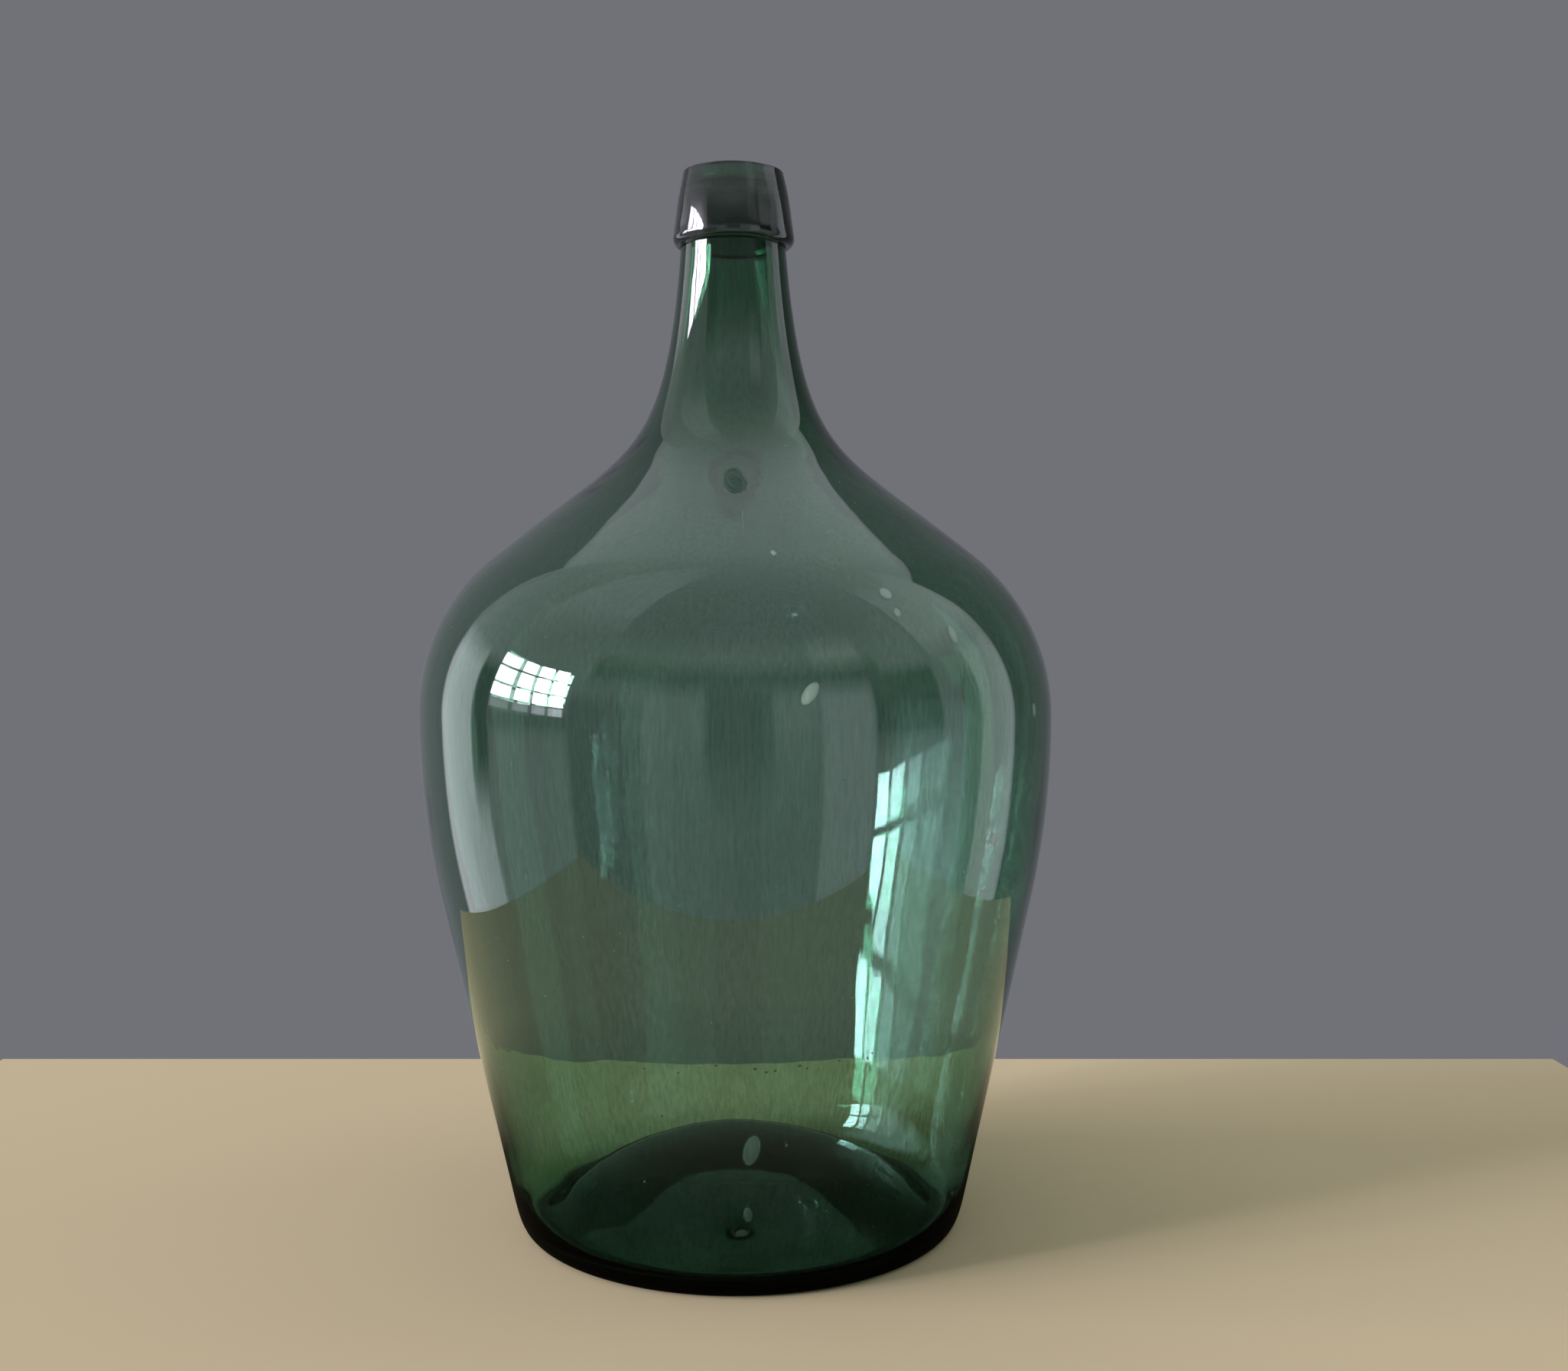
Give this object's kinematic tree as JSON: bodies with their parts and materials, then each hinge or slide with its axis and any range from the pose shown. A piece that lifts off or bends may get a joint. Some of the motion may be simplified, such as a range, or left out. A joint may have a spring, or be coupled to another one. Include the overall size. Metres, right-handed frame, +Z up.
{
  "type": "demijohn",
  "caption": "Large green blown-glass demijohn: tapered body, high round shoulder, long neck with a laid-on collar, open mouth and pushed-up base; holds and pours liquids.",
  "frame": {"origin": "on the vessel's axis, on the plane that its base ring stands on", "axes": "+Z up along the vessel's axis, through the mouth; +X to the right and +Y away from the viewer in the picture"},
  "size_m": [0.32, 0.32, 0.533],
  "materials": {
    "blown_glass": "clear green bottle glass, free blown: fire-polished, slightly wavy, with seeds and blisters",
    "collar_glass": "the same green glass laid on hot and tooled, thicker and so deeper in colour"
  },
  "bodies": {
    "root": {"blown_vessel": "blown_glass", "applied_collar": "collar_glass"}
  },
  "joints": []
}
